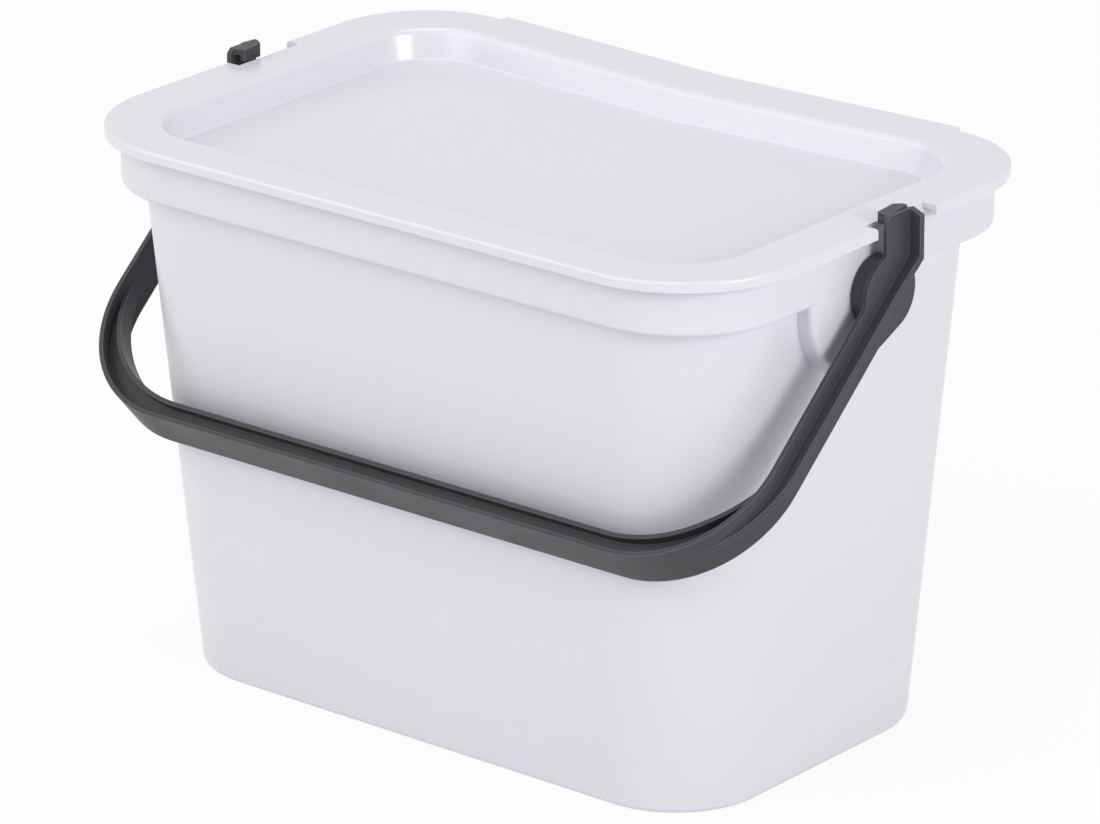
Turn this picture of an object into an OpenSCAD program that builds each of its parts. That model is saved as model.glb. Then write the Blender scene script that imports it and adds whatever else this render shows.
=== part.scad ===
// Kitchen compost caddy: a tapered bucket, a hinged lid with a sunken tray, and a swinging bail handle.
// Millimetres. The origin is the middle of the base on the table, +X right, +Y to the hinge, +Z up.

/* [Lid] */
// Height from the table to the top of the lid
height = 198; // [190:1:215]
// Width of the lid, side to side
lid_w = 285; // [275:1:310]
// Depth of the lid, front to back, without its hinge strip
lid_d = 190; // [184:1:210]
// Corner radius at the front of the lid
lid_front_r = 45; // [38:1:52]
// Corner radius at the back of the lid
lid_back_r = 39; // [34:1:48]
// How far the middle of the back is drawn in
back_inset = 5.7; // [3:0.1:6.5]
// Thickness of the lid's plate and of its tray
lid_t = 1.9; // [1.6:0.1:2.4]
// Height of the lid's down-turned edge
lid_edge_h = 3.6; // [3:0.1:5]
// Thickness of the lid's down-turned edge
lid_edge_t = 1.8; // [1.4:0.1:2.2]
// Rounding of the lid's outer edge
lid_edge_r = 1; // [0.6:0.1:1.4]
// Flat rim beside the tray, on the short sides
rim_side = 18.5; // [17:0.5:24]
// Flat rim beside the tray, at the front and the back
rim_end = 16.7; // [16:0.1:22]
// Corner radius of the tray where the rim ends
tray_r = 28; // [22:1:34]
// Depth of the tray
tray_depth = 10.7; // [6:0.1:14]
// Lean of the tray's walls
tray_draft = 15; // [8:1:25]
// Rounding where the rim turns down into the tray
tray_edge_r = 3; // [2:0.1:4]
// Rounding where the tray's wall meets its floor
tray_floor_r = 1; // [0.6:0.1:2]
// Depth of the rib that centres the lid in the bucket
rib_h = 4; // [2:0.1:5]
// Thickness of that rib
rib_t = 1.6; // [1.2:0.1:2]
// Gap between the rib and the bucket's collar
rib_gap = 1.3; // [1:0.1:1.6]

/* [Bucket] */
// How far the lid's edge stands out past the collar
lid_overhang = 5.5; // [4.6:0.1:7]
// How far the collar stands out past the body below it
collar_step = 6; // [4:0.1:8]
// Height of the collar's lower edge below the top of the lid
collar_drop = 21; // [18:0.5:26]
// Bevel on the rim's edges
rim_bevel = 0.5; // [0.3:0.1:0.7]
// Rounding of the collar's lower edge
collar_r = 2; // [1:0.1:3]
// Width of the base
base_w = 236; // [220:1:250]
// Depth of the base
base_d = 141; // [130:1:154]
// Corner radius of the base
base_corner_r = 34; // [26:1:40]
// Corner radius at the top of the body
body_corner_r = 39; // [34:1:44]
// Rounding where the base meets the walls
base_r = 2; // [1:0.1:3]
// Wall thickness of the bucket
wall = 2.2; // [1.8:0.1:2.6]
// Rounding inside, where the floor meets the walls
floor_r = 6; // [4:0.5:10]
// Radius of the half-round ears that carry the handle
lobe_r = 32.5; // [28:0.5:36]

/* [Handle] */
// Height of the handle's pivot below the top of the lid
pivot_drop = 23; // [22:0.5:27]
// Angle of the lowered handle below level
handle_tilt = 41.3; // [36:0.1:44]
// How much further the grip reaches from the pivot than the lid's front edge lies
grip_past = 23.8; // [22:0.1:32]
// Corner radius of the bail
bail_r = 44.5; // [38:0.5:48]
// Gap between the lid's edge and the arms
arm_gap = 0.35; // [0.35:0.05:1]
// Thickness of the bail's outer web
web_t = 1.6; // [1.4:0.1:2]
// Height of the web above the level of the pivot
web_up = 7.4; // [6:0.1:10]
// Depth of the web below the level of the pivot
web_down = 8.8; // [6:0.1:10]
// Thickness of the floor of the grip and of the rib on the arms
floor_t = 2.3; // [1.5:0.1:2.6]
// Level of that floor's underside, measured up from the pivot
floor_up = -0.4; // [-1:0.1:1]
// How far the rib stands out from the arms
flange_w = 3.5; // [2.5:0.1:5]
// Corner radius of the rib, whose wider curve runs into the grip
flange_r = 50; // [44:0.5:54]
// How far it stands out from the upright ends
horn_flange_w = 4.3; // [2.5:0.1:5]
// Width of the grip, outside to inside
grip_w = 8.4; // [7:0.1:10]
// Height of the grip's inner wall above the level of the pivot
grip_lip = 5.4; // [4:0.1:8]
// Depth of that wall below the level of the pivot
grip_lip_down = 3; // [1:0.1:5]
// Thickness of the grip's inner wall
channel_t = 1.6; // [1.4:0.1:2]
// Corner radius of the grip's inner wall
channel_r = 49; // [46:0.5:54]
// Where the grip's inner wall starts to rise from its floor, measured from the pivot
channel_start = 66; // [62:1:80]
// Where it has its full height, measured from the pivot
channel_end = 98; // [90:1:104]
// Radius of the pivot disc
disc_r = 12.4; // [11:0.1:14]
// Gap between the pivot disc and the bucket
disc_gap = 0.35; // [0.3:0.05:0.6]
// Radius of the plate round the pivot
plate_r = 13.2; // [12:0.1:16]
// Where that plate runs into the arm, measured from the pivot
plate_end = 16; // [15:1:30]
// Radius of the pivot stud
stud_r = 6; // [5:0.1:7]
// Running clearance of the stud in its hole
stud_gap = 0.3; // [0.2:0.05:0.4]
// How far the stud's snap head stands out
snap = 0.9; // [0.5:0.1:1.2]
// Length of the stud's snap head
snap_l = 1.4; // [1:0.1:2]
// Width of the slit that lets the snap head close
slit = 1.6; // [1.2:0.1:2]
// Front of the upright end of each arm, ahead of the pivot
horn_front = 2.3; // [1:0.1:7]
// Back of the upright end of each arm, behind the pivot
horn_back = 12; // [10:0.1:13]
// Height of the upright end above the top of the lid
horn_up = 4; // [3:0.1:6]
// Bevel on the corners of the upright end
horn_bevel = 1.7; // [1:0.1:3]
// How far the hook on the upright end reaches in over the lid
hook_in = 4.4; // [2.5:0.1:4.8]
// Thickness of the hook's top and of its lip
hook_t = 2; // [1.4:0.1:2.4]
// Height of the hook's lip, with its top
hook_h = 4.2; // [3:0.1:5]
// Front of the hook's lip, behind the pivot
hook_front = 0.3; // [0:0.1:2]
// Length of the hook's lip, front to back
hook_l = 8.1; // [6:0.1:9]
// Bevel on the hook's back corner
hook_bevel = 1.9; // [1:0.1:2.5]
// Rise of the hook's top toward its back
hook_rise = 0.9; // [0:0.1:1.5]

/* [Notches in the lid] */
// Depth of the notch that the handle's hook passes through
notch_depth = 5.7; // [5.2:0.1:7]
// Front end of the notch, ahead of the pivot
notch_front = 4.6; // [4:0.1:5]
// Back end of the notch, behind the pivot
notch_back = 27; // [26:0.5:34]

/* [Hinge] */
// Half the length of the strip along the lid's back edge
strip_half = 100; // [92:1:100]
// How far the strip stands out past the lid's back edge
strip_out = 2.75; // [2:0.05:3.5]
// Middle of each hinge clip, out from the centre
clip_x = 72; // [40:1:74]
// Length of each hinge clip
clip_l = 20; // [12:1:24]
// Thickness of the ears beside each clip
ear_t = 2.4; // [2:0.1:3]
// End play of a clip between its ears
clip_play = 0.4; // [0.3:0.1:0.6]
// Radius of the hinge pin
pin_r = 2; // [1.6:0.1:2.2]
// Running clearance of the clip on the pin
pin_gap = 0.25; // [0.2:0.05:0.35]
// Wall of the clip round the pin
clip_wall = 1.75; // [1.4:0.05:2]
// Gap between a clip and the bucket's collar
clip_gap = 0.7; // [0.5:0.1:1.2]
// Gap between an ear and the lid's plate above it
ear_gap = 0.6; // [0.4:0.1:1]
// Mouth of the clip, narrower than the pin so that it snaps on
clip_mouth = 3.3; // [2.8:0.1:3.6]

/* [Hidden] */

shell_white = "gainsboro";
bail_grey = "dimgray";
seg = 9;                                   // straight steps in each corner of the moulded shells
cut = 1;                                   // how far a cutting shape runs past what it cuts
plate_step = 0.05;                         // how far the pivot plates stand proud of the web that runs into them
plate_lap = 2;                             // how far the web and the rib run into those plates

rim_z = height - lid_t;                    // the bucket's rim, which carries the lid
collar_z = height - collar_drop;
half_w = lid_w / 2;
half_d = lid_d / 2;
collar_hw = half_w - lid_overhang;
collar_hd = half_d - lid_overhang;
pivot_z = height - pivot_drop;
arm_in = half_w + arm_gap;                 // inner face of the arms
arm_out = arm_in + web_t;
horn_top = height + horn_up;
plate_in = arm_in - plate_step;            // inner face of the plates round the pivots
plate_out = arm_out + plate_step;
grip_reach = half_d + grip_past;

back_tilt = line_tilt(half_w, lid_back_r, back_inset);
pin_y = collar_back(clip_x + clip_l / 2) + clip_gap + pin_r + pin_gap + clip_wall;
clip_r = pin_r + pin_gap + clip_wall;
ear_r = pin_r + 1.2;
pin_z = rim_z - ear_gap - ear_r;

// ---- outlines: a rounded rectangle whose back edge is drawn in to a shallow V ----

// Slope of the line that leaves the middle of the back and touches the back corner's arc
function line_tilt(hw, r, inset) = atan2(inset - r, hw - r) + asin(r / norm([hw - r, inset - r]));

// Back of the lid's outline at a distance x from the middle
function lid_back(x) = half_d - back_inset + abs(x) * tan(back_tilt);
function collar_back(x) = lid_back(x) - lid_overhang;

function arc(cx, cy, r, from, to) =
    [for (i = [0:seg]) let (a = from + (to - from) * i / seg) [cx + r * cos(a), cy + r * sin(a)]];

// s = [half width, half depth, front radius, back radius, height]
function loop(s) =
    let (hw = s[0], hd = s[1], rf = s[2], rb = s[3], t = line_tilt(hw, rb, back_inset))
    [for (p = concat(
        arc(hw - rf, rf - hd, rf, 270, 360),
        arc(hw - rb, hd - rb, rb, 0, 90 + t),
        [[0, hd - back_inset]],
        arc(rb - hw, hd - rb, rb, 90 - t, 180),
        arc(rf - hw, rf - hd, rf, 180, 270))) [p[0], p[1], s[4]]];

// A closed solid through a stack of outlines, with a flat cap at each end
module loft(stack) {
    n = len(loop(stack[0]));
    last = len(stack) - 1;
    points = [for (s = stack) each loop(s)];
    sides = [for (k = [0:last - 1], i = [0:n - 1]) let (j = (i + 1) % n)
        each [[k * n + i, k * n + n + j, k * n + j], [k * n + i, k * n + n + i, k * n + n + j]]];
    start = [for (i = [0:n - 1]) i];
    end = [for (i = [n - 1:-1:0]) last * n + i];
    polyhedron(points, concat([start], sides, [end]), convexity = 8);
}

// ---- bucket ----

// Outline of the body at height z, pushed in by inset
function body(z, inset = 0) =
    let (t = z / collar_z,
         hw = base_w / 2 + (collar_hw - collar_step - base_w / 2) * t - inset,
         hd = base_d / 2 + (collar_hd - collar_step - base_d / 2) * t - inset,
         r = base_corner_r + (body_corner_r - base_corner_r) * t - inset)
    [hw, hd, r, r, z];

// Outline of the collar at height z, pushed in by inset
function collar(z, inset = 0) =
    [collar_hw - inset, collar_hd - inset,
     lid_front_r - lid_overhang - inset, lid_back_r - lid_overhang - inset, z];

module bucket_outside() {
    loft(concat(
        [for (a = [0, 30, 60, 90]) body(base_r * (1 - cos(a)), base_r * (1 - sin(a)))],
        [body(collar_z)],
        [for (a = [0, 30, 60, 90]) collar(collar_z + collar_r * (1 - cos(a)), collar_r * (1 - sin(a)))],
        [collar(rim_z - rim_bevel), collar(rim_z, rim_bevel)]));
}

module bucket_inside() {
    loft(concat(
        [for (a = [0, 30, 60, 90])
            body(wall + floor_r * (1 - cos(a)), wall + floor_r * (1 - sin(a)))],
        [body(collar_z + wall, wall), collar(collar_z + wall, wall)],
        [collar(rim_z - rim_bevel, wall), collar(rim_z, wall - rim_bevel), collar(rim_z + cut, wall - rim_bevel)]));
}

// A round bar along X between two places
module bar_x(r, x0, x1) {
    translate([x0, 0, 0]) rotate([0, 90, 0]) cylinder(r = r, h = x1 - x0, $fn = 96);
}

module lobe() {
    intersection() {
        translate([0, 0, collar_z]) bar_x(lobe_r, base_w / 2, collar_hw);
        translate([0, -lid_d / 2, 0]) cube([lid_w, lid_d, collar_z + collar_r]);
    }
}

module lobe_pocket() {
    translate([0, 0, collar_z]) bar_x(lobe_r - wall, base_w / 4, collar_hw - wall);
}

module hinge_ear(x) {
    translate([x - ear_t / 2, pin_y, pin_z]) bar_x(ear_r, 0, ear_t);
    translate([x - ear_t / 2, collar_back(x) - wall / 2, pin_z - ear_r])
        cube([ear_t, pin_y - collar_back(x) + wall / 2, 2 * ear_r]);
}

module hinge_mount() {
    reach = clip_l / 2 + clip_play + ear_t / 2;
    hinge_ear(clip_x - reach);
    hinge_ear(clip_x + reach);
    translate([clip_x, pin_y, pin_z]) bar_x(pin_r, -reach, reach);
}

module both_sides() {
    children();
    mirror([1, 0, 0]) children();
}

module bucket() {
    color(shell_white) {
        difference() {
            union() {
                bucket_outside();
                both_sides() lobe();
            }
            bucket_inside();
            both_sides() lobe_pocket();
            both_sides() translate([0, 0, pivot_z])
                bar_x(stud_r + stud_gap, base_w / 2, collar_hw + cut);
        }
        both_sides() hinge_mount();
    }
}

// ---- lid ----

function rim(inset, z) =
    [half_w - inset, half_d - inset, lid_front_r - inset, lid_back_r - inset, z];

// Outline of the tray, pushed in by inset from where the flat rim ends
function tray(inset, z) =
    [half_w - rim_side - inset, half_d - rim_end - inset, tray_r - inset, tray_r - inset, z];

tray_lean = 90 - tray_draft;
tray_top_in = tray_edge_r * sin(tray_lean);
tray_top_z = height - tray_edge_r * (1 - cos(tray_lean));
tray_floor_z = height - tray_depth;
tray_low_z = tray_floor_z + tray_floor_r * (1 - cos(tray_lean));
tray_low_in = tray_wall(tray_low_z);
tray_skin = lid_t / sin(tray_lean);        // the wall's thickness, measured level
rib_out = lid_overhang + wall + rib_gap;   // the rib's outer face, in from the lid's edge

// How far the straight part of the tray's wall is in from the flat rim at height z
function tray_wall(z) = tray_top_in + (tray_top_z - z) / tan(tray_lean);

module lid_shell() {
    loft(concat(
        [tray(tray_wall(tray_floor_z - lid_t) - tray_skin, tray_floor_z - lid_t),
         tray(tray_wall(rim_z) - tray_skin, rim_z)],
        [rim(rib_out + rib_t, rim_z), rim(rib_out + rib_t, rim_z - rib_h)],
        [rim(rib_out, rim_z - rib_h), rim(rib_out, rim_z)],
        [rim(lid_edge_t, rim_z), rim(lid_edge_t, height - lid_edge_h), rim(0, height - lid_edge_h)],
        [for (a = [90, 45, 0]) rim(lid_edge_r * (1 - sin(a)), height - lid_edge_r * (1 - cos(a)))],
        [for (a = [0, tray_lean / 3, tray_lean * 2 / 3, tray_lean])
            tray(tray_edge_r * sin(a), height - tray_edge_r * (1 - cos(a)))],
        [tray(tray_low_in, tray_low_z), tray(tray_low_in + tray_floor_r * sin(tray_lean), tray_floor_z)]));
}

// A strip that follows the lid's back edge, from y0 to y1 out from it
module back_strip(y0, y1, z0, z1) {
    translate([0, 0, z0]) linear_extrude(z1 - z0) polygon([
        [-strip_half, lid_back(strip_half) + y0], [0, lid_back(0) + y0], [strip_half, lid_back(strip_half) + y0],
        [strip_half, lid_back(strip_half) + y1], [0, lid_back(0) + y1], [-strip_half, lid_back(strip_half) + y1]]);
}

module notch() {
    translate([half_w - notch_depth, -notch_front, rim_z - lid_edge_h])
        cube([notch_depth + cut, notch_front + notch_back, lid_edge_h + lid_t + cut]);
}

module hinge_clip() {
    difference() {
        union() {
            translate([clip_x, pin_y, pin_z]) bar_x(clip_r, -clip_l / 2, clip_l / 2);
            translate([clip_x - clip_l / 2, pin_y - clip_r / 2, pin_z])
                cube([clip_l, clip_r, rim_z + lid_t / 2 - pin_z]);
        }
        translate([clip_x, pin_y, pin_z]) bar_x(pin_r + pin_gap, -clip_l / 2 - cut, clip_l / 2 + cut);
        translate([clip_x - clip_l / 2 - cut, pin_y - clip_mouth / 2, pin_z - clip_r - cut])
            cube([clip_l + 2 * cut, clip_mouth, clip_r + cut]);
    }
}

module lid() {
    color(shell_white) {
        difference() {
            union() {
                lid_shell();
                back_strip(-lid_edge_t - lid_edge_r, strip_out, rim_z, height);
            }
            back_strip(-lid_edge_t - 0.4, cut, rim_z - lid_edge_h, rim_z);
            both_sides() notch();
        }
        both_sides() hinge_clip();
    }
}

// ---- handle: drawn lying level, pivot at the origin, grip toward -Y, then tilted down ----

// Flat outline of the bail: half width hw, reach r, corner radius c, open at the pivot end
module bail_plan(hw, reach, c) {
    translate([-hw, c - reach]) square([2 * hw, reach - c]);
    translate([c - hw, -reach]) square([2 * (hw - c), reach]);
    both_sides() translate([hw - c, c - reach]) circle(r = c, $fn = 128);
}

module bail_ring(hw, reach, c, t) {
    difference() {
        bail_plan(hw, reach, c);
        translate([0, cut]) bail_plan(hw - t, reach - t + cut, c - t);
    }
}

// Outer web: the tall wall of the grip, which runs on up the arms as far as the plates round the pivots
module web() {
    translate([0, 0, -web_down]) linear_extrude(web_up + web_down) difference() {
        bail_ring(arm_out, grip_reach, bail_r, web_t);
        translate([-arm_out - cut, plate_lap - plate_end]) square([2 * arm_out + 2 * cut, plate_end]);
    }
}

// Rib on the outside of the arms, which dies away into the grip
module arm_rib() {
    in_web = arm_in + web_t / 2;
    translate([0, 0, floor_up]) linear_extrude(floor_t) difference() {
        bail_plan(arm_out + flange_w, grip_reach - plate_step, flange_r);
        translate([0, cut]) bail_plan(in_web, grip_reach - web_t / 2 + cut, bail_r - web_t / 2);
    }
}

// Channel of the grip: its floor and inner wall, whose wider curve runs into the web at both ends
module channel() {
    difference() {
        grip_part(floor_up, grip_lip, 0);
        grip_part(floor_up + floor_t, grip_lip + cut, channel_t);
        channel_slope();
    }
    difference() {
        grip_part(-grip_lip_down, floor_up + floor_t / 2, 0);
        grip_part(-grip_lip_down - cut, floor_up + floor_t, channel_t);
    }
}

// What lies between the web and a wider curve inside it, which is drawn out toward the web by inset
module grip_part(v0, v1, inset) {
    into_web = arm_in + web_t / 2 + inset;
    translate([0, 0, v0]) linear_extrude(v1 - v0) difference() {
        bail_plan(arm_in, grip_reach - web_t, bail_r - web_t);
        translate([0, cut]) bail_plan(into_web, grip_reach - grip_w + inset + cut, channel_r + inset);
    }
}

// Cuts the ends of the channel's inner wall down to its floor on a slope
module channel_slope() {
    low = floor_up + floor_t;
    from_side(-arm_out, arm_out) polygon([
        [cut, low], [cut, grip_lip + cut], [-channel_end, grip_lip + cut],
        [-channel_end, grip_lip], [-channel_start, low]]);
}

// Tangent from the point p to a circle of radius r round the origin, on the side s
function touch(p, r, s) = let (a = atan2(p[1], p[0]) + s * acos(r / norm(p))) [r * cos(a), r * sin(a)];

// Side view of one arm's plate, in the lowered handle's place: Y to the left, Z up, pivot at the origin
module side_plate() {
    low = [-plate_end, -web_down - plate_step];
    high = [-plate_end, web_up + plate_step];
    rotate(handle_tilt) polygon([touch(low, plate_r, 1), low, high, [0, high[1]], [0, 0]]);
    circle(r = plate_r, $fn = 96);
    translate([-horn_front, 0]) square([horn_front + horn_back - floor_t / 2, horn_top - pivot_z]);
}

module horn_corner_cut() {
    translate([-horn_front, horn_top - pivot_z]) rotate(45)
        square([horn_bevel * sqrt(2), horn_bevel * sqrt(2)], center = true);
}

// Extrude a side view along X
module from_side(x0, x1) {
    translate([x0, 0, 0]) rotate([90, 0, 90]) linear_extrude(x1 - x0) children();
}

// Extrude a view from behind (X to the left, Z up) along Y
module from_behind(y0, y1) {
    translate([0, y1, 0]) rotate([90, 0, 0]) linear_extrude(y1 - y0) children();
}

// Height at y of a line that runs along the arm, v above the pivot's own line
function slope(y, v) = y * tan(handle_tilt) + v / cos(handle_tilt);

// The arm's rib carries on past the pivot and turns up the back of the upright end
module horn_flange() {
    top = horn_top - pivot_z - plate_step;
    front = horn_back - floor_t;
    low = floor_up - plate_step;
    high = floor_up + floor_t + plate_step;
    narrow = plate_out + flange_w;
    wide = plate_out + horn_flange_w;
    difference() {
        from_side(arm_in + web_t / 2, wide) polygon([
            [-plate_lap, slope(-plate_lap, low)], [horn_back, slope(horn_back, low)], [horn_back, top],
            [front, top], [front, slope(front, high)], [-plate_lap, slope(-plate_lap, high)]]);
        from_behind(front - cut, horn_back + cut) polygon([
            [plate_out, top + cut], [plate_out, top], [wide, top - horn_bevel],
            [wide + cut, top - horn_bevel], [wide + cut, top + cut]]);
        translate([0, 0, slope(-plate_lap, low) - cut]) linear_extrude(front + horn_back) polygon([
            [narrow, -plate_lap - cut], [narrow, 0], [wide, front], [wide + cut, front],
            [wide + cut, -plate_lap - cut]]);
    }
}

// Nib that reaches in over the lid from the top of the upright end
module nib() {
    inner = plate_in - hook_in;
    outer_front = horn_bevel - horn_front;
    back = hook_front + hook_l;
    end = back + hook_bevel;
    top = horn_top - pivot_z;
    intersection() {
        translate([0, 0, top - 2 * hook_t]) linear_extrude(3 * hook_t) polygon([
            [inner, hook_front], [plate_in, outer_front], [plate_in, end],
            [inner + hook_t + hook_bevel / 2, end], [inner, back]]);
        from_side(inner - cut, plate_in + cut) polygon([
            [outer_front - cut, top - hook_t], [end + cut, top - hook_t], [end + cut, top + hook_rise],
            [hook_front, top], [outer_front - cut, top]]);
    }
    translate([inner, hook_front, top - hook_h]) cube([hook_t, hook_l, hook_h - hook_t / 2]);
}

module pivot() {
    inner = collar_hw - wall - disc_gap - snap_l;
    bar_x(disc_r, collar_hw + disc_gap, plate_in);
    difference() {
        union() {
            bar_x(stud_r, inner, collar_hw + disc_gap + cut);
            bar_x(stud_r + snap, inner, inner + snap_l);
        }
        translate([inner - cut, -slit / 2, -lobe_r]) cube([wall + disc_gap + snap_l + cut, slit, 2 * lobe_r]);
    }
}

module arm_end() {
    difference() {
        from_side(plate_in, plate_out) side_plate();
        from_side(plate_in - cut, plate_out + cut) horn_corner_cut();
    }
    horn_flange();
}

module left() {
    mirror([1, 0, 0]) children();
}

// The handle is one moulding, drawn as a bail, two pivots and two nibs that meet face to face
module at_pivot() {
    color(bail_grey) translate([0, 0, pivot_z]) children();
}

module handle() {
    at_pivot() {
        rotate([handle_tilt, 0, 0]) {
            web();
            arm_rib();
            channel();
        }
        both_sides() arm_end();
    }
}

bucket();
lid();
handle();
at_pivot() left() pivot();  // left_pivot
at_pivot() pivot();  // right_pivot
at_pivot() left() nib();  // left_nib
at_pivot() nib();  // right_nib
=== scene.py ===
import math

import bmesh
import bpy
import numpy as np
from mathutils import Matrix


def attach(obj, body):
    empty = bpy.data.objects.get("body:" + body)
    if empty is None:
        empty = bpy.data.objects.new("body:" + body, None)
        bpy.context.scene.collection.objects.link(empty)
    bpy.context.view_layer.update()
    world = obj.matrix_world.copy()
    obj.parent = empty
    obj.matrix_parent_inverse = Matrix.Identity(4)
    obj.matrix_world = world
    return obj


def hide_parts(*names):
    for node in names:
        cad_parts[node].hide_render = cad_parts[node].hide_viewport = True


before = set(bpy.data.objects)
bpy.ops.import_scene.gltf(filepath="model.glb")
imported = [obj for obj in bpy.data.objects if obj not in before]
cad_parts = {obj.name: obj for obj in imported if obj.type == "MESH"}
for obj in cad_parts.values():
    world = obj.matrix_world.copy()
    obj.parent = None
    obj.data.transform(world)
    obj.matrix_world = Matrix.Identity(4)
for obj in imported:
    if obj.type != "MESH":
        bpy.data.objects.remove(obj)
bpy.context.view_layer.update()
scene = bpy.context.scene
scene.view_settings.view_transform = "Standard"
mm = 0.001


# The camera stands where the photograph was taken from
camera = {
    "place": (1.46772, -1.77329, 0.96090),
    "azimuth": 39.76,
    "elevation": 20.51,
    "roll": -0.28,
    "lens": 234.78,
    "sensor": 36.0,
    "shiftX": 0.0147,
}


def addCamera(c):
    az, el, roll = (math.radians(c[k]) for k in ("azimuth", "elevation", "roll"))
    back = np.array([math.sin(az) * math.cos(el), -math.cos(az) * math.cos(el), math.sin(el)])
    right = np.array([math.cos(az), math.sin(az), 0.0])
    up = np.cross(back, right)
    turnedRight = math.cos(roll) * right + math.sin(roll) * up
    turnedUp = math.cos(roll) * up - math.sin(roll) * right
    rows = [turnedRight, turnedUp, back]
    data = bpy.data.cameras.new("camera")
    data.lens = c["lens"]
    data.sensor_width = c["sensor"]
    data.shift_x = c["shiftX"]
    data.clip_end = 20.0
    obj = bpy.data.objects.new("camera", data)
    obj.matrix_world = Matrix.Translation(c["place"]) @ Matrix(rows).transposed().to_4x4()
    scene.collection.objects.link(obj)
    scene.camera = obj


addCamera(camera)
print("camera in place")


def newMaterial(name):
    mat = bpy.data.materials.new(name)
    mat.use_nodes = True
    nodes = mat.node_tree.nodes
    return mat, nodes, mat.node_tree.links, nodes["Principled BSDF"]


# Maps a value in a straight line through two stops, each an input and its output
def rampNode(nodes, links, source, stops):
    ramp = nodes.new("ShaderNodeMapRange")
    ramp.inputs["From Min"].default_value = stops[0][0]
    ramp.inputs["From Max"].default_value = stops[1][0]
    ramp.inputs["To Min"].default_value = stops[0][1]
    ramp.inputs["To Max"].default_value = stops[1][1]
    links.new(source, ramp.inputs["Value"])
    return ramp.outputs["Result"]


# Moulded plastic: a fine spark-eroded grain and a slow waviness, added to one height,
# and the waviness alone as a mask for the roughness
def mouldedGroup():
    g = bpy.data.node_groups.new("mouldedPlastic", "ShaderNodeTree")
    sockets = (("Grain Scale", 900.0), ("Grain Depth", 0.05), ("Wave Scale", 16.0), ("Wave Depth", 0.2))
    for name, value in sockets:
        s = g.interface.new_socket(name, in_out="INPUT", socket_type="NodeSocketFloat")
        s.default_value = value
    g.interface.new_socket("Height", in_out="OUTPUT", socket_type="NodeSocketFloat")
    g.interface.new_socket("Mask", in_out="OUTPUT", socket_type="NodeSocketFloat")
    inp = g.nodes.new("NodeGroupInput")
    out = g.nodes.new("NodeGroupOutput")
    coord = g.nodes.new("ShaderNodeTexCoord")
    fine = g.nodes.new("ShaderNodeTexNoise")
    fine.inputs["Detail"].default_value = 2.0
    slow = g.nodes.new("ShaderNodeTexNoise")
    slow.inputs["Detail"].default_value = 1.0
    for tex, key in ((fine, "Grain Scale"), (slow, "Wave Scale")):
        g.links.new(coord.outputs["Object"], tex.inputs["Vector"])
        g.links.new(inp.outputs[key], tex.inputs["Scale"])
    parts = []
    for tex, key in ((fine, "Grain Depth"), (slow, "Wave Depth")):
        mul = g.nodes.new("ShaderNodeMath")
        mul.operation = "MULTIPLY"
        g.links.new(tex.outputs["Fac"], mul.inputs[0])
        g.links.new(inp.outputs[key], mul.inputs[1])
        parts.append(mul.outputs[0])
    add = g.nodes.new("ShaderNodeMath")
    add.operation = "ADD"
    g.links.new(parts[0], add.inputs[0])
    g.links.new(parts[1], add.inputs[1])
    g.links.new(add.outputs[0], out.inputs["Height"])
    g.links.new(slow.outputs["Fac"], out.inputs["Mask"])
    return g


# Painted highlight on edges: a mask that is 1 where a rounded normal leaves the true one, where a
# lighter colour is mixed in
def paintedHighlightGroup():
    g = bpy.data.node_groups.new("paintedEdgeHighlight", "ShaderNodeTree")
    s = g.interface.new_socket("Radius", in_out="INPUT", socket_type="NodeSocketFloat")
    s.default_value = 0.0008
    g.interface.new_socket("Mask", in_out="OUTPUT", socket_type="NodeSocketFloat")
    inp = g.nodes.new("NodeGroupInput")
    out = g.nodes.new("NodeGroupOutput")
    bevel = g.nodes.new("ShaderNodeBevel")
    bevel.samples = 6
    geo = g.nodes.new("ShaderNodeNewGeometry")
    dot = g.nodes.new("ShaderNodeVectorMath")
    dot.operation = "DOT_PRODUCT"
    g.links.new(inp.outputs["Radius"], bevel.inputs["Radius"])
    g.links.new(bevel.outputs["Normal"], dot.inputs[0])
    g.links.new(geo.outputs["Normal"], dot.inputs[1])
    ramp = g.nodes.new("ShaderNodeMapRange")
    ramp.inputs["From Min"].default_value = 0.99
    ramp.inputs["From Max"].default_value = 0.8
    g.links.new(dot.outputs["Value"], ramp.inputs["Value"])
    g.links.new(ramp.outputs["Result"], out.inputs["Mask"])
    return g


moulded = mouldedGroup()
paintedHighlight = paintedHighlightGroup()


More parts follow.
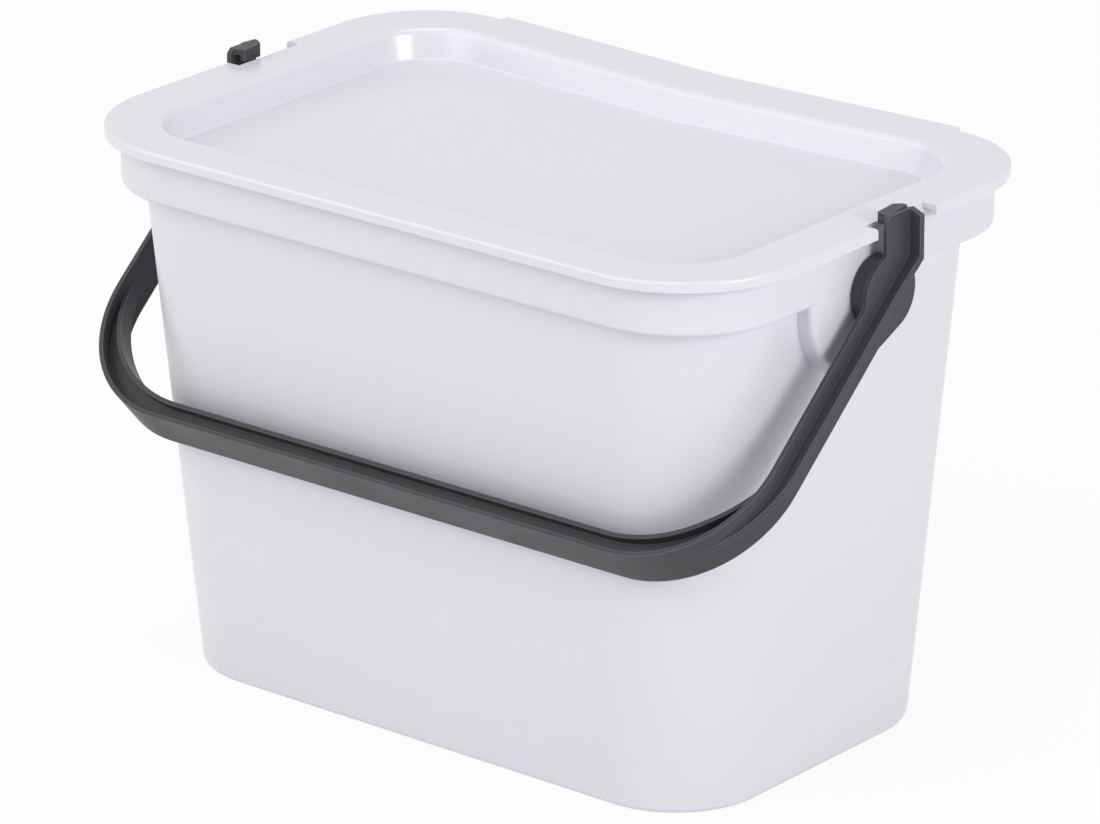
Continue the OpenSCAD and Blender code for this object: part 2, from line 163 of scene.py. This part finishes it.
def plastic(m):
    mat, nodes, links, bsdf = newMaterial(m["name"])
    skin = nodes.new("ShaderNodeGroup")
    skin.node_tree = moulded
    for key, value in m["skin"].items():
        skin.inputs[key].default_value = value
    edge = nodes.new("ShaderNodeGroup")
    edge.node_tree = paintedHighlight
    edge.inputs["Radius"].default_value = m["edgeRadius"]
    # Mixes the lighter edge colour in along the edge mask: a painted highlight on the edges
    mix = nodes.new("ShaderNodeMix")
    mix.data_type = "RGBA"
    mix.inputs["A"].default_value = (*m["color"], 1.0)
    mix.inputs["B"].default_value = (*m["edgeColor"], 1.0)
    amount = rampNode(nodes, links, edge.outputs["Mask"], ((0.0, 0.0), (1.0, m["edgeAmount"])))
    links.new(amount, mix.inputs["Factor"])
    links.new(mix.outputs["Result"], bsdf.inputs["Base Color"])
    low, high = m["roughness"]
    rough = rampNode(nodes, links, skin.outputs["Mask"], ((0.3, low), (0.7, high)))
    links.new(rough, bsdf.inputs["Roughness"])
    bump = nodes.new("ShaderNodeBump")
    bump.inputs["Strength"].default_value = m["bump"]
    bump.inputs["Distance"].default_value = 0.001
    links.new(skin.outputs["Height"], bump.inputs["Height"])
    links.new(bump.outputs["Normal"], bsdf.inputs["Normal"])
    bsdf.inputs["IOR"].default_value = 1.49
    bsdf.inputs["Specular IOR Level"].default_value = m["gloss"]
    return mat


# Each plastic's lighter edge colour is a painted highlight on its edges, not a colour of the plastic
bucketPlastic = plastic({
    "name": "bucketPlastic",
    "color": (0.70, 0.695, 0.745),
    "edgeColor": (0.80, 0.80, 0.83),
    "edgeAmount": 0.5,
    "edgeRadius": 0.0007,
    "roughness": (0.30, 0.38),
    "gloss": 0.5,
    "bump": 0.25,
    "skin": {"Grain Scale": 900.0, "Grain Depth": 0.05, "Wave Scale": 14.0, "Wave Depth": 0.25},
})
lidPlastic = plastic({
    "name": "lidPlastic",
    "color": (0.71, 0.705, 0.75),
    "edgeColor": (0.84, 0.84, 0.87),
    "edgeAmount": 0.5,
    "edgeRadius": 0.0007,
    "roughness": (0.20, 0.27),
    "gloss": 0.6,
    "bump": 0.2,
    "skin": {"Grain Scale": 900.0, "Grain Depth": 0.04, "Wave Scale": 14.0, "Wave Depth": 0.3},
})
handlePlastic = plastic({
    "name": "handlePlastic",
    "color": (0.053, 0.054, 0.060),
    "edgeColor": (0.16, 0.165, 0.175),
    "edgeAmount": 0.8,
    "edgeRadius": 0.0006,
    "roughness": (0.36, 0.46),
    "gloss": 0.22,
    "bump": 0.35,
    "skin": {"Grain Scale": 1100.0, "Grain Depth": 0.12, "Wave Scale": 40.0, "Wave Depth": 0.1},
})
print("materials made")


def addMesh(name, verts, faces, mat=None):
    mesh = bpy.data.meshes.new(name)
    mesh.from_pydata([tuple(v) for v in verts], [], faces)
    mesh.validate()
    mesh.polygons.foreach_set("use_smooth", [True] * len(mesh.polygons))
    if mat:
        mesh.materials.append(mat)
    obj = bpy.data.objects.new(name, mesh)
    scene.collection.objects.link(obj)
    return obj


def arc(cx, cy, r, start, stop, count):
    a = np.radians(np.linspace(start, stop, count + 1))
    return np.column_stack([cx + r * np.cos(a), cy + r * np.sin(a)])


# Slope of the line from the middle of the drawn-in back to the back corner's arc
def lineTilt(hw, r, inset):
    return math.degrees(math.atan2(inset - r, hw - r) + math.asin(r / math.hypot(hw - r, inset - r)))


# One outline of the shells: a rounded rectangle whose back edge is drawn in to a shallow V
def outline(hw, hd, front, back, z, count=24):
    t = lineTilt(hw, back, backInset)
    flat = np.vstack([
        arc(hw - front, front - hd, front, 270, 360, count),
        arc(hw - back, hd - back, back, 0, 90 + t, count),
        [[0, hd - backInset]],
        arc(back - hw, hd - back, back, 90 - t, 180, count),
        arc(front - hw, front - hd, front, 180, 270, count)])
    return np.column_stack([flat, np.full(len(flat), z)])


# A closed skin through a stack of outlines, with a flat cap at each end
def loft(name, rings, mat):
    n = len(rings[0])
    i = np.arange(n)
    j = (i + 1) % n
    faces = [tuple(int(v) for v in i[::-1])]
    for k in range(len(rings) - 1):
        low, high = k * n, (k + 1) * n
        quads = np.column_stack([low + i, low + j, high + j, high + i])
        faces += [tuple(int(v) for v in quad) for quad in quads]
    faces.append(tuple(int(v) for v in (len(rings) - 1) * n + i))
    return addMesh(name, np.vstack(rings) * mm, faces, mat)


# Turns every face of a closed mesh to the outside
def outward(obj):
    work = bmesh.new()
    work.from_mesh(obj.data)
    bmesh.ops.recalc_face_normals(work, faces=work.faces)
    work.to_mesh(obj.data)
    work.free()
    return obj


# A prism on a flat outline; place turns (a, b, along) into (x, y, z)
def prism(name, points, start, stop, place):
    p = np.asarray(points, float)
    n = len(p)
    verts = [place(a, b, start) for a, b in p] + [place(a, b, stop) for a, b in p]
    faces = [tuple(range(n))[::-1], tuple(range(n, 2 * n))]
    faces += [(i, (i + 1) % n, n + (i + 1) % n, n + i) for i in range(n)]
    return outward(addMesh(name, np.array(verts) * mm, faces))


def alongX(y, z, x):
    return (x, y, z)


def alongZ(x, y, z):
    return (x, y, z)


# One object from the meshes of several, which are dropped
def joined(name, parts):
    work = bmesh.new()
    for part in parts:
        work.from_mesh(part.data)
        bpy.data.objects.remove(part)
    mesh = bpy.data.meshes.new(name)
    work.to_mesh(mesh)
    work.free()
    obj = bpy.data.objects.new(name, mesh)
    scene.collection.objects.link(obj)
    return obj


# Applies one boolean at once and drops the cutter
def combine(obj, parts, operation):
    tool = joined(obj.name + operation.title(), parts)
    mod = obj.modifiers.new(operation.title(), "BOOLEAN")
    mod.operation = operation
    mod.object = tool
    mod.solver = "EXACT"
    graph = bpy.context.evaluated_depsgraph_get()
    mesh = bpy.data.meshes.new_from_object(obj.evaluated_get(graph))
    obj.modifiers.clear()
    obj.data = mesh
    bpy.data.objects.remove(tool)


# Small rounded edges, with the big faces kept flat in the shading
def finishEdges(obj, width, angle=32.0, segments=3):
    work = bmesh.new()
    work.from_mesh(obj.data)
    bmesh.ops.remove_doubles(work, verts=work.verts, dist=1e-6)
    bmesh.ops.dissolve_limit(
        work, angle_limit=math.radians(0.5), verts=work.verts, edges=work.edges, delimit={"NORMAL"})
    for face in work.faces:
        face.smooth = True
    work.to_mesh(obj.data)
    work.free()
    bevel = obj.modifiers.new("Bevel", "BEVEL")
    bevel.width = width * mm
    bevel.segments = segments
    bevel.limit_method = "ANGLE"
    bevel.angle_limit = math.radians(angle)
    bevel.use_clamp_overlap = True
    normals = obj.modifiers.new("WeightedNormal", "WEIGHTED_NORMAL")
    normals.keep_sharp = True


# Sizes in millimetres that the bucket and the lid share
height = 198.0
halfW = 142.5
halfD = 95.0
backInset = 5.7
overhang = 5.5
backCornerR = 39.0
lidThick = 1.9
pivotDrop = 23.0
wall = 2.2
rimZ = height - lidThick
pivotZ = height - pivotDrop
quarter = np.radians(np.linspace(0, 90, 7))
hinge = {
    "clipX": 72.0,
    "clipL": 20.0,
    "clipGap": 0.7,
    "clipWall": 1.75,
    "earGap": 0.6,
    "earR": 3.2,
    "pinR": 2.0,
    "pinGap": 0.25,
}


# The lid's back edge at x: a straight line out from the drawn-in middle, at the outline's slope
def backLine(x):
    slope = math.tan(math.radians(lineTilt(halfW, backCornerR, backInset)))
    return halfD - backInset + abs(x) * slope


# Axis of the lid's hinge: clear of the collar at the clips' far ends
def hingeAxis(h):
    collar = backLine(h["clipX"] + h["clipL"] / 2) - overhang
    y = collar + h["clipGap"] + h["pinR"] + h["pinGap"] + h["clipWall"]
    return y, rimZ - h["earGap"] - h["earR"]


pinY, pinZ = hingeAxis(hinge)


bucket = {
    "base": (118.0, 70.5, 34.0),
    "top": (131.0, 83.5, 39.0),
    "collarZ": 177.0,
    "collar": (137.0, 89.5, 39.5, 33.5),
    "baseR": 2.0,
    "collarR": 2.0,
    "rimBevel": 0.5,
    "floorR": 6.0,
    "lobeR": 32.5,
    "lobeRoot": 116.0,
    "cove": 6.0,
    "coveX": 131.0,
    "nose": 2.4,
    "studHole": 6.3,
    "pocket": ((59.0, 134.8), (-134.8, -59.0)),
    "bore": ((118.0, 140.0), (-140.0, -118.0)),
    "earT": 2.4,
    "earX": (60.4, 83.6),
}


# Outlines from the edge of the base up the outside, over the rim and down the inside to the floor
def bucketRings(b):
    def body(z, inset=0.0):
        t = z / b["collarZ"]
        hw, hd, r = (lo + (hi - lo) * t - inset for lo, hi in zip(b["base"], b["top"]))
        return outline(hw, hd, r, r, z)

    def collar(z, inset=0.0):
        hw, hd, front, back = (v - inset for v in b["collar"])
        return outline(hw, hd, front, back, z)

    top = b["collarZ"]
    rings = [body(b["baseR"] * (1 - math.cos(a)), b["baseR"] * (1 - math.sin(a))) for a in quarter]
    rings += [body(top * t) for t in (0.25, 0.5, 0.75, 1.0)]
    rings += [collar(top + b["collarR"] * (1 - math.cos(a)), b["collarR"] * (1 - math.sin(a)))
              for a in quarter]
    rings += [collar(rimZ - b["rimBevel"]), collar(rimZ, b["rimBevel"])]
    rings += [collar(rimZ, wall - b["rimBevel"]), collar(rimZ - b["rimBevel"], wall)]
    rings += [collar(top + wall, wall), body(top + wall, wall)]
    rings += [body(top * t, wall) for t in (0.75, 0.5, 0.25)]
    rings += [body(wall + b["floorR"] * (1 - math.cos(a)), wall + b["floorR"] * (1 - math.sin(a)))
              for a in quarter[::-1]]
    return rings


# Half-round ear: half discs along X, flared where the ear leaves the wall and rounded at its face
def lobe(b, side):
    face, r, cove, nose = b["collar"][0], b["lobeR"], b["cove"], b["nose"]
    xs = [b["lobeRoot"]] + list(b["coveX"] - cove * np.cos(quarter))
    xs += list(face - nose + nose * np.sin(quarter))
    rs = [r + cove] + list(r + cove - cove * np.sin(quarter)) + list(r - nose + nose * np.cos(quarter))
    a = np.radians(np.linspace(180, 360, 49))
    middle, top = b["collarZ"], b["collarZ"] + 2
    rings = []
    for x, radius in zip(xs, rs):
        low = np.column_stack([np.full(len(a), x), radius * np.cos(a), middle + radius * np.sin(a)])
        rings.append(np.vstack([low, [[x, radius, top], [x, -radius, top]]]))
    verts = np.vstack(rings) * mm * (side, 1, 1)
    n, last = len(rings[0]), len(rings) - 1
    faces = [tuple(range(n)), tuple(range(last * n, last * n + n))]
    faces += [(k * n + i, k * n + (i + 1) % n, (k + 1) * n + (i + 1) % n, (k + 1) * n + i)
              for k in range(last) for i in range(n)]
    return outward(addMesh("lobe", verts, faces))


def circle(y, z, r, count=64):
    return arc(y, z, r, 0, 360, count)[:-1]


# Ear beside a hinge clip: a flat tongue from the collar whose end is round about the pin
def hingeEar(x, b):
    root = backLine(x) - overhang - wall / 2
    r = hinge["earR"]
    points = np.vstack([[[root, pinZ - r]], arc(pinY, pinZ, r, -90, 90, 16), [[root, pinZ + r]]])
    return prism("ear", points, x - b["earT"] / 2, x + b["earT"] / 2, alongX)


# The spans along X on the left and on the right that lie between two distances from the middle
def bothSides(near, far):
    return (-far, -near), (near, far)


# Bars of one profile along X, one for each span
def bars(name, points, spans):
    return [prism(name, points, start, stop, alongX) for start, stop in spans]


def buildBucket(b):
    obj = loft("bucketShell", bucketRings(b), bucketPlastic)
    combine(obj, [lobe(b, side) for side in (-1, 1)], "UNION")
    combine(obj, bars("pocket", circle(0, b["collarZ"], b["lobeR"] - wall), b["pocket"]), "DIFFERENCE")
    combine(obj, bars("hole", circle(0, pivotZ, b["studHole"]), b["bore"]), "DIFFERENCE")
    combine(obj, [hingeEar(side * x, b) for side in (-1, 1) for x in b["earX"]], "UNION")
    combine(obj, bars("pin", circle(pinY, pinZ, hinge["pinR"], 32), bothSides(*b["earX"])), "UNION")
    finishEdges(obj, 0.5)
    return obj


bucketShell = buildBucket(bucket)
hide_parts("bucket")
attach(bucketShell, "bucket")
print("bucket built", len(bucketShell.data.polygons))


lid = {
    "frontR": 45.0,
    "edgeH": 3.6,
    "edgeT": 1.8,
    "edgeR": 1.0,
    "rimSide": 18.5,
    "rimEnd": 16.7,
    "trayR": 28.0,
    "trayDepth": 10.7,
    "draft": 15.0,
    "trayEdgeR": 3.0,
    "trayFloorR": 1.0,
    "ribH": 4.0,
    "ribT": 1.6,
    "ribGap": 1.3,
    "notch": (5.7, 4.6, 27.0),
    "stripHalf": 100.0,
    "stripOut": 2.75,
    "slot": (0.4, 1.0),
    "clipMouth": 3.3,
    "cut": 1.0,
}


# Outlines from under the tray out to the rib and the edge, over the rim and down into the tray
def lidRings(d):
    lean = math.radians(90 - d["draft"])
    edge, foot = d["trayEdgeR"], d["trayFloorR"]
    topIn = edge * math.sin(lean)
    topZ = height - edge * (1 - math.cos(lean))
    floorZ = height - d["trayDepth"]
    lowZ = floorZ + foot * (1 - math.cos(lean))
    skin = lidThick / math.sin(lean)
    ribOut = overhang + wall + d["ribGap"]

    def wallIn(z):
        return topIn + (topZ - z) / math.tan(lean)

    def tray(inset, z):
        r = d["trayR"] - inset
        return outline(halfW - d["rimSide"] - inset, halfD - d["rimEnd"] - inset, r, r, z)

    def rim(inset, z):
        return outline(halfW - inset, halfD - inset, d["frontR"] - inset, backCornerR - inset, z)

    under = floorZ - lidThick
    rings = [tray(wallIn(under) - skin, under), tray(wallIn(rimZ) - skin, rimZ)]
    rings += [rim(ribOut + d["ribT"], rimZ), rim(ribOut + d["ribT"], rimZ - d["ribH"])]
    rings += [rim(ribOut, rimZ - d["ribH"]), rim(ribOut, rimZ)]
    rings += [rim(d["edgeT"], rimZ), rim(d["edgeT"], height - d["edgeH"]), rim(0, height - d["edgeH"])]
    rings += [rim(d["edgeR"] * (1 - math.sin(a)), height - d["edgeR"] * (1 - math.cos(a)))
              for a in quarter[::-1]]
    turn = np.linspace(0, lean, 8)
    rings += [tray(edge * math.sin(a), height - edge * (1 - math.cos(a))) for a in turn]
    footIn = wallIn(lowZ)
    rings += [tray(footIn + foot * (math.sin(lean) - math.sin(a)), floorZ + foot * (1 - math.cos(a)))
              for a in turn[::-1]]
    return rings


# A strip that follows the drawn-in back edge, from near to far out from it
def backStrip(near, far, low, high, half):
    inner = [(-half, backLine(half) + near), (0, backLine(0) + near), (half, backLine(half) + near)]
    outer = [(half, backLine(half) + far), (0, backLine(0) + far), (-half, backLine(half) + far)]
    return prism("strip", inner + outer, low, high, alongZ)


# Clip round the hinge's pin, from its tip up to the underside of the strip
def clipProfile():
    r = hinge["pinR"] + hinge["pinGap"] + hinge["clipWall"]
    roof = rimZ + lidThick / 2
    stem = [[pinY + r, pinZ], [pinY + r / 2, roof], [pinY - r / 2, roof]]
    return np.vstack([arc(pinY, pinZ, r, 150, 360, 40), stem]), r


def buildLid(d):
    obj = loft("lidShell", lidRings(d), lidPlastic)
    half, cut = d["stripHalf"], d["cut"]
    slotIn, slotOut = d["slot"]
    combine(obj, [backStrip(-d["edgeT"] - d["edgeR"], d["stripOut"], rimZ, height, half)], "UNION")
    combine(obj, [backStrip(-d["edgeT"] - slotIn, slotOut, rimZ - d["edgeH"], rimZ, half)], "DIFFERENCE")
    deep, front, back = d["notch"]
    low, high = rimZ - 5 * cut, height + 2 * cut
    box = [(-front, low), (back, low), (back, high), (-front, high)]
    inner, outer = halfW - deep, halfW + 2 * cut
    combine(obj, bars("notch", box, ((-inner, -outer), (inner, outer))), "DIFFERENCE")
    near, far = hinge["clipX"] - hinge["clipL"] / 2, hinge["clipX"] + hinge["clipL"] / 2
    profile, r = clipProfile()
    bore = circle(pinY, pinZ, hinge["pinR"] + hinge["pinGap"], 40)
    mouth = d["clipMouth"] / 2
    under = pinZ - r - cut
    gap = [(pinY - mouth, under), (pinY + mouth, under), (pinY + mouth, pinZ), (pinY - mouth, pinZ)]
    combine(obj, bars("clip", profile, bothSides(near, far)), "UNION")
    combine(obj, bars("bore", bore, bothSides(near - cut, far + cut)), "DIFFERENCE")
    combine(obj, bars("mouth", gap, bothSides(near - cut, far + cut)), "DIFFERENCE")
    finishEdges(obj, 0.3)
    return obj


lidShell = buildLid(lid)
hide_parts("lid")
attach(lidShell, "lid")
print("lid built", len(lidShell.data.polygons))


# A merged copy of a CAD node's mesh, without the splits between its faces
def cadCopy(node):
    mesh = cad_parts[node].data.copy()
    mesh.materials.clear()
    work = bmesh.new()
    work.from_mesh(mesh)
    bmesh.ops.remove_doubles(work, verts=work.verts, dist=1e-6)
    work.to_mesh(mesh)
    work.free()
    obj = bpy.data.objects.new(node + "Copy", mesh)
    scene.collection.objects.link(obj)
    return obj


handle = {
    "name": "bailHandle",
    "core": "handle",
    "ends": ("left_pivot", "right_pivot", "left_nib", "right_nib"),
    "edge": 0.4,
}


def buildHandle(h):
    obj = cadCopy(h["core"])
    obj.name = h["name"]
    combine(obj, [cadCopy(node) for node in h["ends"]], "UNION")
    obj.data.materials.clear()
    obj.data.materials.append(handlePlastic)
    finishEdges(obj, h["edge"], angle=28.0)
    return obj


bailHandle = buildHandle(handle)
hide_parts(handle["core"], *handle["ends"])
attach(bailHandle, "handle")
print("handle built", len(bailHandle.data.polygons))


# 1 where a ray comes from the camera, a reflection or a clear surface
def seenNode(nodes, links):
    path = nodes.new("ShaderNodeLightPath")
    total = path.outputs["Is Camera Ray"]
    for key in ("Is Glossy Ray", "Is Transmission Ray"):
        most = nodes.new("ShaderNodeMath")
        most.operation = "MAXIMUM"
        links.new(total, most.inputs[0])
        links.new(path.outputs[key], most.inputs[1])
        total = most.outputs[0]
    return total


studio = {
    "floorHalf": 6.0,
    "floorGlow": 0.9,
    "ambient": 0.42,
    "lights": (
        ("keyLight", (-1.0, -2.2, 1.5), (0, 0, 0.1), (3.6, 2.6), 50.0),
        ("fillLight", (2.6, -0.2, 1.0), (0, 0, 0.1), (1.2, 1.2), 35.0),
        ("topLight", (-0.4, 0.3, 2.4), (0, 0, 0.15), (1.2, 1.2), 12.0),
    ),
}


def addFloor(half, glow):
    corners = [(-half, -half, 0), (half, -half, 0), (half, half, 0), (-half, half, 0)]
    obj = addMesh("studioFloor", corners, [(0, 1, 2, 3)])
    mat, nodes, links, bsdf = newMaterial("paleFloor")
    bsdf.inputs["Base Color"].default_value = (0.86, 0.86, 0.86, 1.0)
    bsdf.inputs["Roughness"].default_value = 0.9
    bsdf.inputs["Specular IOR Level"].default_value = 0.0
    white = nodes.new("ShaderNodeEmission")
    mix = nodes.new("ShaderNodeMixShader")
    share = rampNode(nodes, links, seenNode(nodes, links), ((0.0, 0.0), (1.0, glow)))
    links.new(share, mix.inputs["Fac"])
    links.new(bsdf.outputs["BSDF"], mix.inputs[1])
    links.new(white.outputs["Emission"], mix.inputs[2])
    links.new(mix.outputs["Shader"], nodes["Material Output"].inputs["Surface"])
    obj.data.materials.append(mat)


def addArea(name, place, target, size, power):
    data = bpy.data.lights.new(name, "AREA")
    data.shape = "RECTANGLE"
    data.size, data.size_y = size
    data.energy = power
    obj = bpy.data.objects.new(name, data)
    aim = np.array(target, float) - np.array(place, float)
    z = -aim / np.linalg.norm(aim)
    x = np.cross([0.0, 0.0, 1.0], z)
    x /= np.linalg.norm(x)
    y = np.cross(z, x)
    obj.matrix_world = Matrix.Translation(place) @ Matrix([x, y, z]).transposed().to_4x4()
    scene.collection.objects.link(obj)


def addWorld(ambient):
    world = bpy.data.worlds.new("studioWorld")
    world.use_nodes = True
    nodes, links = world.node_tree.nodes, world.node_tree.links
    background = nodes["Background"]
    background.inputs["Color"].default_value = (1.0, 1.0, 1.0, 1.0)
    level = rampNode(nodes, links, seenNode(nodes, links), ((0.0, ambient), (1.0, 1.0)))
    links.new(level, background.inputs["Strength"])
    scene.world = world


addFloor(studio["floorHalf"], studio["floorGlow"])
addWorld(studio["ambient"])
for light in studio["lights"]:
    addArea(*light)
print("floor and light set")
